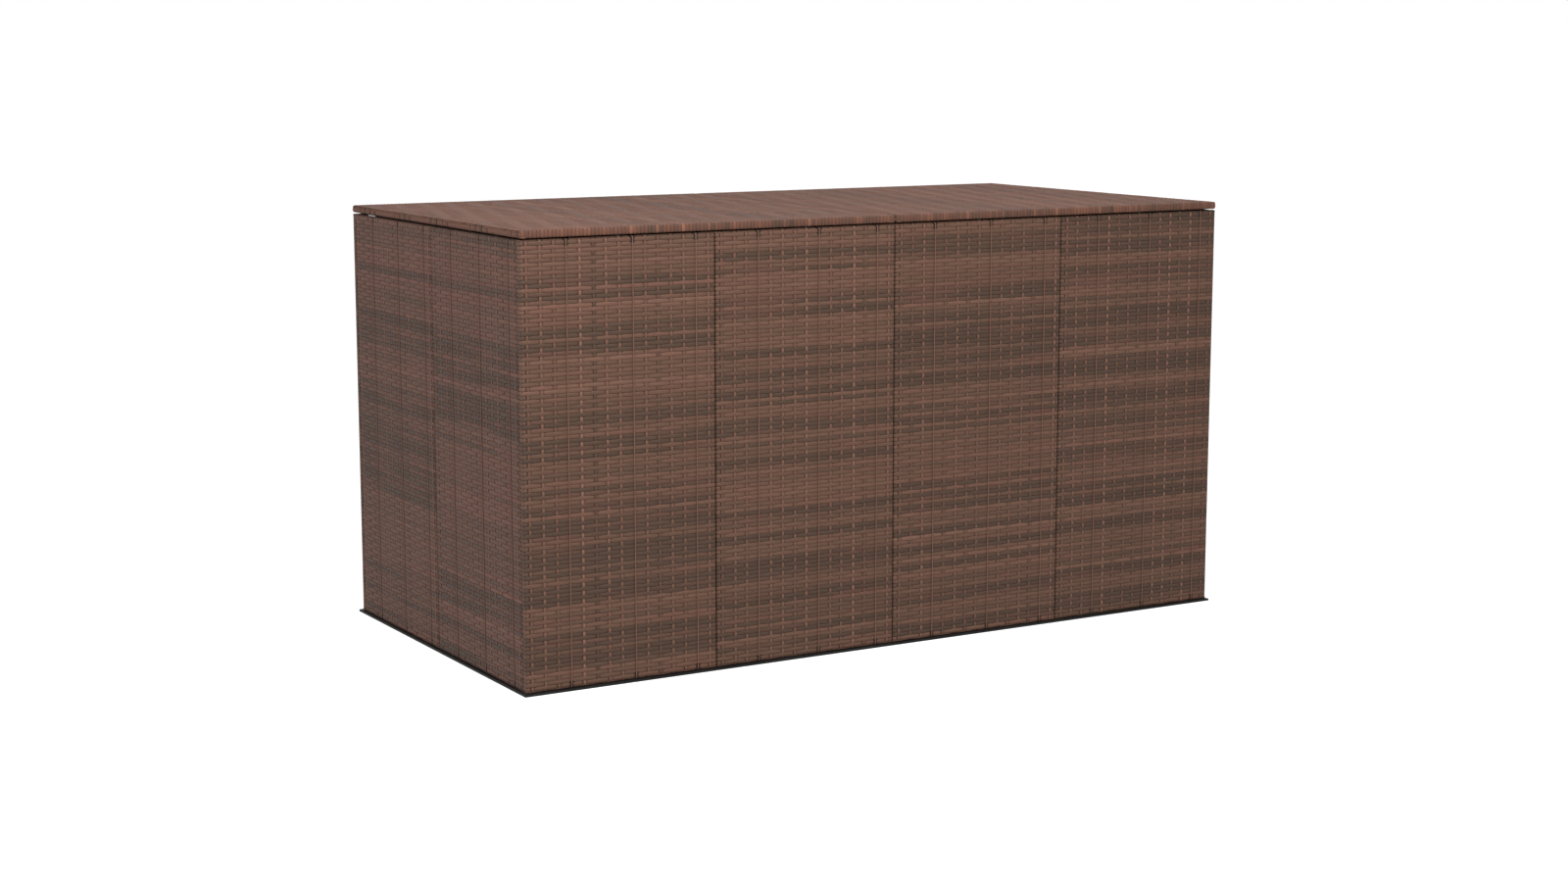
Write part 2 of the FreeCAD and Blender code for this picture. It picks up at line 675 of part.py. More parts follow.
for side, sign, turn in (("left", -1, upright), ("right", 1, half_turn)):
    wall_x = f"{sign}*wall_inside"
    strut_x = f"{sign}*(wall_inside - strut_stand_off)"
    foot = copy_of(f"foot_{side}", foot_bracket, (wall_x, "strut_foot_y", "strut_foot_z"), turn)
    head = copy_of(f"head_{side}", head_bracket, (wall_x, "strut_head_y", "strut_head_z"), turn)
    keep(f"strut_{side}_body_bracket", cut(f"strut_{side}_body_bracket", foot, cutters["body_brackets"]))
    keep(f"strut_{side}_lid_bracket", cut(f"strut_{side}_lid_bracket", head, cutters["lid_brackets"]))
    for part, master in (("cylinder", strut_cylinder), ("rod", strut_rod)):
        leaned = copy_of(f"strut_{side}_{part}", master, (strut_x, "strut_foot_y", "strut_foot_z"),
                         Rotation(Vector(1, 0, 0), 1))
        leaned.setExpression(".Placement.Rotation.Angle", formula("atan(strut_run/strut_rise)"))
        keep(f"strut_{side}_{part}", leaned)


# Liner: an open bag hung from straps on the long walls and from a rod across each end.

liner_length = "2*liner_end"
liner_width = "liner_back - liner_front"
wall_rise = "liner_top - liner_floor - liner_thickness"
wall_foot = "liner_floor + liner_thickness"
liner_walls = [
    block("liner_bottom", (liner_length, liner_width, "liner_thickness"),
          ("-liner_end", "liner_front", "liner_floor")),
    block("liner_front_wall", (liner_length, "liner_thickness", wall_rise),
          ("-liner_end", "liner_front", wall_foot)),
    block("liner_back_wall", (liner_length, "liner_thickness", wall_rise),
          ("-liner_end", "liner_back - liner_thickness", wall_foot)),
]
for side, start in (("left", "-liner_end"), ("right", "liner_end - liner_thickness")):
    liner_walls.append(block(f"liner_{side}_wall",
                             ("liner_thickness", f"{liner_width} - 2*liner_thickness", wall_rise),
                             (start, "liner_front + liner_thickness", wall_foot)))
keep("liner", group("liner", liner_walls))

straps = []
for index in range(count_of("front_count")):
    start = f"-side_face + {index}*(front_width + panel_seam) + (front_width - strap_width)/2"
    for wall, face in (("front", "front_inside"), ("back", "back_inside - strap_thickness")):
        straps.append(block(f"strap_{wall}_{index + 1}",
                            ("strap_width", "strap_thickness", "strap_length"),
                            (start, face, "body_top - strap_length")))
keep("liner_straps", cut("liner_straps", group("straps_plain", straps), cutters["straps"]))

rods = []
for side, sign in (("left", -1), ("right", 1)):
    bar = document.addObject("Part::Cylinder", f"rod_{side}_bar")
    bind(bar, Radius="rod_bar_radius", Height="back_inside - front_inside")
    place(bar, (f"{sign}*liner_end", "front_inside", "top_tube_height"), along_y)
    ends = [block(f"rod_{side}_{wall}_flange", ("flange_width", "plate_thickness", "tube_size"),
                  (f"{sign}*liner_end - flange_width/2", face, "top_tube_height - tube_size/2"))
            for wall, face in (("front", "front_inside"), ("back", "back_inside - plate_thickness"))]
    rods.append(fused(f"rod_{side}", [bar] + ends))
keep("liner_rods", cut("liner_rods", group("rods_plain", rods), cutters["rods"]))


# Rubber stops that the closed lid comes down on, one on each front panel.

stop = turned("stop_master", [
    (0, 0),
    ("stop_radius", 0),
    ("stop_radius", "lid_gap - stop_clearance"),
    (0, "lid_gap - stop_clearance"),
])
stops = []
for index in range(count_of("front_count")):
    middle = f"-side_face + {index}*(front_width + panel_seam) + front_width/2"
    stops.append(copy_of(f"stop_{index + 1}", stop, (middle, f"front_face + {skin_to_middle}", "body_top")))
keep("lid_stops", group("lid_stops", stops))

for name, members in fitted.items():
    keep(name, group(name, members))


# Checks, then one file to a sub-part.

document.recompute()
for item in document.Objects:
    if "Invalid" in item.State or "Error" in item.State:
        raise RuntimeError(f"{item.Name} failed: {item.State}")
for name, piece in nodes.items():
    if piece.Shape.isNull() or not piece.Shape.isValid():
        raise RuntimeError(f"{name} has no valid shape")

os.makedirs("parts", exist_ok=True)
for name, piece in nodes.items():
    piece.Shape.exportStep(f"parts/{name}.step")
print(f"{len(nodes)} sub-parts, {sum(len(piece.Shape.Solids) for piece in nodes.values())} solids")
for name in ("strut_length", "strut_run", "strut_rise", "hinge_axis_y", "hinge_axis_z"):
    print(name, round(measure(name), 3))
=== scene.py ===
import bpy
import math
import numpy as np
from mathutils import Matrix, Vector


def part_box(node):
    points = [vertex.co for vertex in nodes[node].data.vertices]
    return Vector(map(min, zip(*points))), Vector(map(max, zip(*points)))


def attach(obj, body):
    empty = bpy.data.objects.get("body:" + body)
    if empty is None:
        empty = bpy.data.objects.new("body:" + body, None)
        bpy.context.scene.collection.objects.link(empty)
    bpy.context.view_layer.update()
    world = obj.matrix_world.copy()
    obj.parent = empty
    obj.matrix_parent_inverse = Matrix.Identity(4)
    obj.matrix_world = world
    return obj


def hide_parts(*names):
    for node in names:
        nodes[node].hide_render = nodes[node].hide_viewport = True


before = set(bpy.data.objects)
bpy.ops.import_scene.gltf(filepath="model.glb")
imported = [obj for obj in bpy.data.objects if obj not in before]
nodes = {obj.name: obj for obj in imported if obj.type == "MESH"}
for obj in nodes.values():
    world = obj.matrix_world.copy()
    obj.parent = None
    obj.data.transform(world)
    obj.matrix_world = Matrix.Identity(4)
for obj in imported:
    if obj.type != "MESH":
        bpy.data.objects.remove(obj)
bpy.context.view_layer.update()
mm = 0.001


# colours and materials

def linearColour(hexText):
    channels = [int(hexText[i:i + 2], 16) / 255 for i in (1, 3, 5)]
    return [c / 12.92 if c <= 0.04045 else ((c + 0.055) / 1.055) ** 2.4 for c in channels] + [1.0]


def addNode(tree, kind, links=None, **settings):
    # settings are the node's own properties, links are its inputs: a socket to join or a value
    node = tree.nodes.new(kind)
    for key, value in settings.items():
        setattr(node, key, value)
    for key, value in (links or {}).items():
        if isinstance(value, bpy.types.NodeSocket):
            tree.links.new(value, node.inputs[key])
        else:
            node.inputs[key].default_value = value
    return node


def newMaterial(name):
    material = bpy.data.materials.new(name)
    material.use_nodes = True
    tree = material.node_tree
    return material, tree, tree.nodes["Principled BSDF"]


def fillRamp(node, stops):
    ramp = node.color_ramp
    while len(ramp.elements) < len(stops):
        ramp.elements.new(0.5)
    for element, (place, colour) in zip(ramp.elements, stops):
        element.position = place
        element.color = linearColour(colour)


noiseLow, noiseHigh = 0.3, 0.7        # nearly all of a noise texture lies between these


# Polyethylene rattan, extruded through a die in its own colour. The eye sees brown strips that drift
# from dark to light and now and then to red, with a fine grain along them and a dull, waxy shine.
def rattanMaterial(name, look):
    material, tree, shader = newMaterial(name)
    strip = addNode(tree, "ShaderNodeAttribute", attribute_name="strip")
    tone = addNode(tree, "ShaderNodeAttribute", attribute_name="tone")
    # the colour drifts along each strip, as the granules mix in the extruder
    drift = addNode(tree, "ShaderNodeVectorMath", {
        0: strip.outputs["Vector"],
        1: (1 / look["driftLength"], look["driftStep"], 0),
    }, operation="MULTIPLY")
    driftNoise = addNode(tree, "ShaderNodeTexNoise", {
        "Vector": drift.outputs[0], "Scale": 1.0, "Detail": 2.0,
    })
    shift = addNode(tree, "ShaderNodeMath", {
        0: driftNoise.outputs["Fac"], 1: look["driftAmount"], 2: -look["driftAmount"] / 2,
    }, operation="MULTIPLY_ADD")
    level = addNode(tree, "ShaderNodeMath", {
        0: tone.outputs["Fac"], 1: shift.outputs[0],
    }, operation="ADD", use_clamp=True)
    ramp = addNode(tree, "ShaderNodeValToRGB", {"Fac": level.outputs[0]})
    fillRamp(ramp, look["colours"])
    # fine grain drawn along the strip by the die
    grain = addNode(tree, "ShaderNodeVectorMath", {
        0: strip.outputs["Vector"],
        1: (1 / look["grainLength"], look["grainStep"], 1 / look["grainWidth"]),
    }, operation="MULTIPLY")
    grainNoise = addNode(tree, "ShaderNodeTexNoise", {
        "Vector": grain.outputs[0], "Scale": 1.0, "Detail": 3.0,
    })
    grainShade = addNode(tree, "ShaderNodeMapRange", {
        "Value": grainNoise.outputs["Fac"], "From Min": noiseLow, "From Max": noiseHigh,
        "To Min": 1 - look["grainShade"], "To Max": 1 + look["grainShade"],
    })
    # some reels come out redder than others
    reel = addNode(tree, "ShaderNodeTexNoise", {
        "Vector": drift.outputs[0], "Scale": look["reelScale"], "Detail": 0.0,
    })
    redness = addNode(tree, "ShaderNodeMapRange", {
        "Value": reel.outputs["Fac"], "From Min": look["redFrom"], "From Max": look["redFull"],
        "To Max": look["redShare"],
    })
    reddened = addNode(tree, "ShaderNodeMix", {
        "Factor": redness.outputs[0], 6: ramp.outputs["Color"], 7: linearColour(look["redTone"]),
    }, data_type="RGBA")
    coloured = addNode(tree, "ShaderNodeVectorMath", {
        0: reddened.outputs[2], 1: grainShade.outputs[0],
    }, operation="MULTIPLY")
    roughness = addNode(tree, "ShaderNodeMapRange", {
        "Value": grainNoise.outputs["Fac"], "From Min": noiseLow, "From Max": noiseHigh,
        "To Min": look["roughness"] - look["roughSpread"],
        "To Max": look["roughness"] + look["roughSpread"],
    })
    bump = addNode(tree, "ShaderNodeBump", {
        "Height": grainNoise.outputs["Fac"], "Strength": 0.35, "Distance": look["grainDepth"] * mm,
    })
    tree.links.new(coloured.outputs[0], shader.inputs["Base Color"])
    tree.links.new(roughness.outputs[0], shader.inputs["Roughness"])
    tree.links.new(bump.outputs[0], shader.inputs["Normal"])
    shader.inputs["Specular IOR Level"].default_value = look["shine"]
    return material


# lengths in mm, and the two steps keep neighbouring strips from matching
rattan = dict(driftStep=7.31, driftLength=150, grainStep=3.7, grainLength=14, grainWidth=0.9, grainDepth=0.12,
              roughSpread=0.07, reelScale=0.61, redFrom=0.5, redFull=0.68)
wallRattan = rattanMaterial("polyethyleneRattanWalls", {
    **rattan, "driftLength": 170, "driftAmount": 0.24, "grainShade": 0.1, "roughness": 0.52, "shine": 0.13,
    "redTone": "#52362d", "redShare": 0.4,
    "colours": [(0.0, "#36281f"), (0.3, "#3b2c23"), (0.62, "#4a352a"), (1.0, "#5f4438")],
})
endRattan = rattanMaterial("polyethyleneRattanEnds", {
    **rattan, "driftAmount": 0.26, "grainShade": 0.1, "roughness": 0.56, "shine": 0.1,
    "redTone": "#563830", "redShare": 0.5,
    "colours": [(0.0, "#392b24"), (0.3, "#3d2f28"), (0.62, "#4c362d"), (1.0, "#5d4136")],
})
lidRattan = rattanMaterial("polyethyleneRattanLid", {
    **rattan, "driftLength": 160, "driftAmount": 0.22, "grainShade": 0.08, "roughness": 0.58, "shine": 0.08,
    "redTone": "#53352b", "redShare": 0.4,
    "colours": [(0.0, "#322722"), (0.3, "#3e2f27"), (0.62, "#4d342a"), (1.0, "#644436")],
})


# Powder coat, sprayed and baked on steel. The eye sees one even dark colour with a faint orange peel,
# matt where it is textured, and a little dust in patches.
def powderCoat(name, look):
    material, tree, shader = newMaterial(name)
    place = addNode(tree, "ShaderNodeTexCoord")
    peel = addNode(tree, "ShaderNodeTexNoise", {
        "Vector": place.outputs["Object"], "Scale": 1 / (look["peelSize"] * mm), "Detail": 2.0,
    })
    dust = addNode(tree, "ShaderNodeTexNoise", {
        "Vector": place.outputs["Object"], "Scale": 1 / (look["patchSize"] * mm), "Detail": 4.0,
    })
    ramp = addNode(tree, "ShaderNodeValToRGB", {"Fac": dust.outputs["Fac"]})
    fillRamp(ramp, [(0.35, look["colour"]), (0.7, look["dusty"])])
    roughness = addNode(tree, "ShaderNodeMapRange", {
        "Value": dust.outputs["Fac"], "From Min": noiseLow, "From Max": noiseHigh,
        "To Min": look["roughness"] - 0.06, "To Max": look["roughness"] + 0.08,
    })
    bump = addNode(tree, "ShaderNodeBump", {
        "Height": peel.outputs["Fac"], "Strength": 0.25, "Distance": 0.05 * mm,
    })
    tree.links.new(ramp.outputs["Color"], shader.inputs["Base Color"])
    tree.links.new(roughness.outputs[0], shader.inputs["Roughness"])
    tree.links.new(bump.outputs[0], shader.inputs["Normal"])
    shader.inputs["Specular IOR Level"].default_value = look["shine"]
    return material


# Zinc plate on pressed steel, or hard chrome on a ground rod. The eye sees bare bright metal, cloudy on
# the zinc and near mirror-smooth on the chrome, with a grain along the way it was worked.
def workedMetal(name, look):
    material, tree, shader = newMaterial(name)
    place = addNode(tree, "ShaderNodeTexCoord")
    stretch = addNode(tree, "ShaderNodeMapping", {
        "Vector": place.outputs["Object"], "Scale": [1 / (size * mm) for size in look["grain"]],
    })
    grain = addNode(tree, "ShaderNodeTexNoise", {
        "Vector": stretch.outputs[0], "Scale": 1.0, "Detail": 3.0,
    })
    ramp = addNode(tree, "ShaderNodeValToRGB", {"Fac": grain.outputs["Fac"]})
    fillRamp(ramp, [(noiseLow, look["dark"]), (noiseHigh, look["light"])])
    roughness = addNode(tree, "ShaderNodeMapRange", {
        "Value": grain.outputs["Fac"], "From Min": noiseLow, "From Max": noiseHigh,
        "To Min": look["roughness"] - 0.05, "To Max": look["roughness"] + 0.08,
    })
    bump = addNode(tree, "ShaderNodeBump", {
        "Height": grain.outputs["Fac"], "Strength": 0.2, "Distance": 0.03 * mm,
    })
    tree.links.new(ramp.outputs["Color"], shader.inputs["Base Color"])
    tree.links.new(roughness.outputs[0], shader.inputs["Roughness"])
    tree.links.new(bump.outputs[0], shader.inputs["Normal"])
    shader.inputs["Metallic"].default_value = 1.0
    return material


# Woven polyester or polypropylene. The eye sees matt cloth with a soft sheen off the fibres, and from
# close by two sets of threads at right angles. A wave texture of scale 1 runs 20 radians in a metre.
def wovenCloth(name, look):
    material, tree, shader = newMaterial(name)
    place = addNode(tree, "ShaderNodeTexCoord")
    threads = []
    for axis in ("X", "Z"):
        threads.append(addNode(tree, "ShaderNodeTexWave", {
            "Vector": place.outputs["Object"], "Distortion": 0.4,
            "Scale": math.tau / (20 * look["threadSpacing"] * mm),
        }, wave_type="BANDS", bands_direction=axis))
    weaving = addNode(tree, "ShaderNodeMath", {
        0: threads[0].outputs["Fac"], 1: threads[1].outputs["Fac"],
    }, operation="ADD")
    patches = addNode(tree, "ShaderNodeTexNoise", {
        "Vector": place.outputs["Object"], "Scale": 1 / (look["patchSize"] * mm), "Detail": 4.0,
    })
    shade = addNode(tree, "ShaderNodeMath", {
        0: weaving.outputs[0], 1: 0.25, 2: patches.outputs["Fac"],
    }, operation="MULTIPLY_ADD")
    ramp = addNode(tree, "ShaderNodeValToRGB", {"Fac": shade.outputs[0]})
    fillRamp(ramp, [(0.35, look["dark"]), (1.0, look["light"])])
    bump = addNode(tree, "ShaderNodeBump", {
        "Height": weaving.outputs[0], "Strength": 0.5, "Distance": 0.2 * mm,
    })
    tree.links.new(ramp.outputs["Color"], shader.inputs["Base Color"])
    tree.links.new(bump.outputs[0], shader.inputs["Normal"])
    shader.inputs["Roughness"].default_value = 0.85
    shader.inputs["Sheen Weight"].default_value = 0.25
    return material


# Moulded rubber. The eye sees a near-black, matt surface with the fine texture of the mould.
def mouldedRubber(name, look):
    material, tree, shader = newMaterial(name)
    place = addNode(tree, "ShaderNodeTexCoord")
    texture = addNode(tree, "ShaderNodeTexNoise", {
        "Vector": place.outputs["Object"], "Scale": 1 / (look["textureSize"] * mm), "Detail": 3.0,
    })
    ramp = addNode(tree, "ShaderNodeValToRGB", {"Fac": texture.outputs["Fac"]})
    fillRamp(ramp, [(0.3, look["dark"]), (0.75, look["light"])])
    bump = addNode(tree, "ShaderNodeBump", {
        "Height": texture.outputs["Fac"], "Strength": 0.3, "Distance": 0.05 * mm,
    })
    tree.links.new(ramp.outputs["Color"], shader.inputs["Base Color"])
    tree.links.new(bump.outputs[0], shader.inputs["Normal"])
    shader.inputs["Roughness"].default_value = 0.8
    shader.inputs["Specular IOR Level"].default_value = 0.15
    return material


# sizes in mm
baseCoat = powderCoat("powderCoatedBaseSteel", dict(
    colour="#0e0d0d", dusty="#191817", peelSize=1.2, patchSize=90, roughness=0.6, shine=0.12))
frameCoat = powderCoat("powderCoatedFrameTube", dict(
    colour="#1e1714", dusty="#29211c", peelSize=1.0, patchSize=120, roughness=0.8, shine=0.08))
strutEnamel = powderCoat("bakedEnamelStrutTube", dict(
    colour="#141416", dusty="#1d1d20", peelSize=0.8, patchSize=60, roughness=0.28, shine=0.5))
zincPlate = workedMetal("zincPlatedPressedSteel", dict(
    dark="#8d8e8b", light="#bdbdb8", grain=(9, 2, 2), roughness=0.38))
boltZinc = workedMetal("zincPlatedBoltSteel", dict(
    dark="#9a9a96", light="#c9c9c2", grain=(1.5, 1.5, 1.5), roughness=0.32))
hardChrome = workedMetal("hardChromedGroundRod", dict(
    dark="#c4c6ca", light="#dfe0e3", grain=(3, 3, 0.4), roughness=0.12))
linerCloth = wovenCloth("wovenPolyesterLining", dict(
    dark="#26272b", light="#43454b", threadSpacing=1.019, patchSize=111))
strapWebbing = wovenCloth("wovenPolypropyleneWebbing", dict(
    dark="#131315", light="#2a2a2e", threadSpacing=1.146, patchSize=111))
stopRubber = mouldedRubber("mouldedRubberStop", dict(dark="#111111", light="#262626", textureSize=0.7))

# the finish of each node of the CAD, by the first of these words that is in its name
finishes = {
    "panel_frame": frameCoat, "lid_frame": frameCoat, "base_rail": baseCoat, "floor_slats": baseCoat,
    "_leaf": zincPlate, "hinge_pins": zincPlate, "bolts": boltZinc, "screws": boltZinc,
    "bracket": zincPlate, "cylinder": strutEnamel, "strut_left_rod": hardChrome,
    "strut_right_rod": hardChrome, "liner_rods": frameCoat, "lid_stops": stopRubber,
    "liner_straps": strapWebbing, "liner": linerCloth, "weave": wallRattan,
}
for nodeName, nodeObject in nodes.items():
    finish = next(material for word, material in finishes.items() if word in nodeName)
    nodeObject.data.materials.clear()
    nodeObject.data.materials.append(finish)
print("materials done")


# woven panels

# lengths in mm, and depths are below the outer face
weave = dict(
    panelDepth=18.0, edgeRadius=4.0, returnRun=15.0,      # the panel's edge, and how far strips turn in
    rowPitch=9.35, rowHeight=9.9,                         # rows overlap, so no light comes between them
    stakePitch=32.05, stakeWidth=7.6,                     # strips that the rows pass over and under
    bindingWidth=3.2, bindingEvery=5,                     # cord laid over the rows in place of a stake
    overDepth=0.1, underDepth=1.9, edgeDepth=0.62,
    stakeHold=4.6, stakeRelease=10.5,                     # a row dips up to the first, is flat past the next
    wrapRows=4, wrapShare=0.54, wrapInset=0.6,            # rows that lie round the top and bottom edges
    stakeGrip=0.55,                                       # where a stake bends, as a share of half a row
    rowJitter=0.12, stakeJitter=1.1, depthJitter=0.1,
    stakeSpread=0.16, wrapSpread=0.06,                    # how far their tones stray
)
# outlines of a strip: parts of its half width, and mm outward
rowSection = ((-1.0, -1.05), (-0.64, 0.36), (0.64, 0.36), (1.0, -1.05), (1.0, -2.9), (-1.0, -2.9))
stakeSection = ((-1.0, -0.45), (-0.6, 0.34), (0.6, 0.34), (1.0, -0.45), (0.0, -0.46))


def edgePath(length):
    # the way across a panel, from the turned-in end of a strip over edge, face and edge to the other
    depth, radius, returnRun = weave["panelDepth"], weave["edgeRadius"], weave["returnRun"]
    quarter = math.pi / 2 * radius
    flat = depth - 2 * radius
    runs = [returnRun - radius, quarter, flat, quarter, length - 2 * radius, quarter, flat, quarter,
            returnRun - radius]
    starts = np.concatenate(([0], np.cumsum(runs)))

    def at(t):
        # place and depth at t, and the way outward there
        t = np.clip(np.asarray(t, float), 0, starts[-1])
        place = np.empty(t.shape + (4,))
        for index in range(len(runs)):
            on = (t >= starts[index]) & (t <= starts[index + 1])
            s = t[on] - starts[index]
            if index == 0:
                values = (returnRun - s, depth, 0, 1)
            elif index == 2:
                values = (0, depth - radius - s, -1, 0)
            elif index == 4:
                values = (radius + s, 0, 0, -1)
            elif index == 6:
                values = (length, radius + s, 1, 0)
            elif index == 8:
                values = (length - radius - s, depth, 0, 1)
            else:
                turn = s / radius
                centreU, centreDepth, first = {
                    1: (radius, depth - radius, 90), 3: (radius, radius, 180),
                    5: (length - radius, radius, 270), 7: (length - radius, depth - radius, 360),
                }[index]
                angle = math.radians(first) + turn
                outU, outDepth = np.cos(angle), np.sin(angle)
                values = (centreU + radius * outU, centreDepth + radius * outDepth, outU, outDepth)
            for column, value in enumerate(values):
                place[..., column][on] = value
        return place

    return at, starts


unwrap = dict(margin=0.01, bandFill=0.86, bandStart=0.07, capShift=0.002)


# One mesh from sets of strips. A set has points by strip, place along and corner in metres, a tone for
# each strip, the way along it in mm, and the corners' places across it in mm.
def meshFromStrips(name, sets, material):
    coords, corners, starts, tones, strips, maps = [], [], [], [], [], []
    offset = 0
    bands = sum(len(entry[0]) for entry in sets)
    band = 0
    loopCount = 0
    for verts, tone, along, across in sets:
        s, n, k = verts.shape[:3]
        index = offset + np.arange(s * n * k).reshape(s, n, k)
        ring = np.roll(index, -1, axis=2)
        quads = np.stack([index[:, :-1], index[:, 1:], ring[:, 1:], ring[:, :-1]], axis=-1).reshape(-1)
        caps = np.concatenate([index[:, 0, :].reshape(-1), index[:, -1, ::-1].reshape(-1)])
        coords.append(verts.reshape(-1, 3))
        corners += [quads, caps]
        starts.append(loopCount + 4 * np.arange(len(quads) // 4))
        loopCount += len(quads)
        starts.append(loopCount + k * np.arange(2 * s))
        loopCount += len(caps)
        tones.append(np.broadcast_to(tone[:, None, None], (s, n, k)).reshape(-1))
        strip = np.empty((s, n, k, 3))
        strip[..., 0] = along[:, :, None]
        strip[..., 1] = (band + np.arange(s))[:, None, None]
        strip[..., 2] = across[None, None, :]
        strips.append(strip.reshape(-1, 3))
        # each strip has a band of the map to itself
        u = unwrap["margin"] + (1 - 2 * unwrap["margin"]) * along / along.max()
        ku = np.arange(k + 1) / k * unwrap["bandFill"] + unwrap["bandStart"]
        v = (band + np.arange(s))[:, None] + ku[None, :]
        quadU = np.stack([u[:, :-1], u[:, 1:], u[:, 1:], u[:, :-1]], axis=-1)[:, :, None, :]
        quadU = np.broadcast_to(quadU, (s, n - 1, k, 4))
        quadV = np.stack([v[:, :-1], v[:, :-1], v[:, 1:], v[:, 1:]], axis=-1)[:, None, :, :]
        quadV = np.broadcast_to(quadV, (s, n - 1, k, 4)) / bands
        maps.append(np.stack([quadU, quadV], axis=-1).reshape(-1, 2))
        capV = v[:, None, :-1]
        for end, order, side in ((0, slice(None), 1), (-1, slice(None, None, -1), -1)):
            capU = np.broadcast_to(u[:, end][:, None], (s, k)) + side * unwrap["capShift"]
            maps.append(np.stack([capU, capV[:, 0, order] / bands], axis=-1).reshape(-1, 2))
        offset += s * n * k
        band += s
    mesh = bpy.data.meshes.new(name)
    coords = np.concatenate(coords)
    corners = np.concatenate(corners)
    starts = np.concatenate(starts)
    mesh.vertices.add(len(coords))
    mesh.vertices.foreach_set("co", coords.ravel())
    mesh.loops.add(len(corners))
    mesh.loops.foreach_set("vertex_index", corners.astype(np.int32))
    mesh.polygons.add(len(starts))
    mesh.polygons.foreach_set("loop_start", starts.astype(np.int32))
    mesh.update(calc_edges=True)
    mesh.validate()
    toneLayer = mesh.attributes.new("tone", "FLOAT", "POINT")
    toneLayer.data.foreach_set("value", np.concatenate(tones))
    stripLayer = mesh.attributes.new("strip", "FLOAT_VECTOR", "POINT")
    stripLayer.data.foreach_set("vector", np.concatenate(strips).ravel())
    mesh.uv_layers.new(name="OFBake").data.foreach_set("uv", np.concatenate(maps).ravel())
    mesh.shade_smooth()
    mesh.materials.append(material)
    piece = bpy.data.objects.new(name, mesh)
    bpy.context.scene.collection.objects.link(piece)
    return piece


def rowsIn(height):
    return round((height - 2 * weave["edgeRadius"]) / weave["rowPitch"])


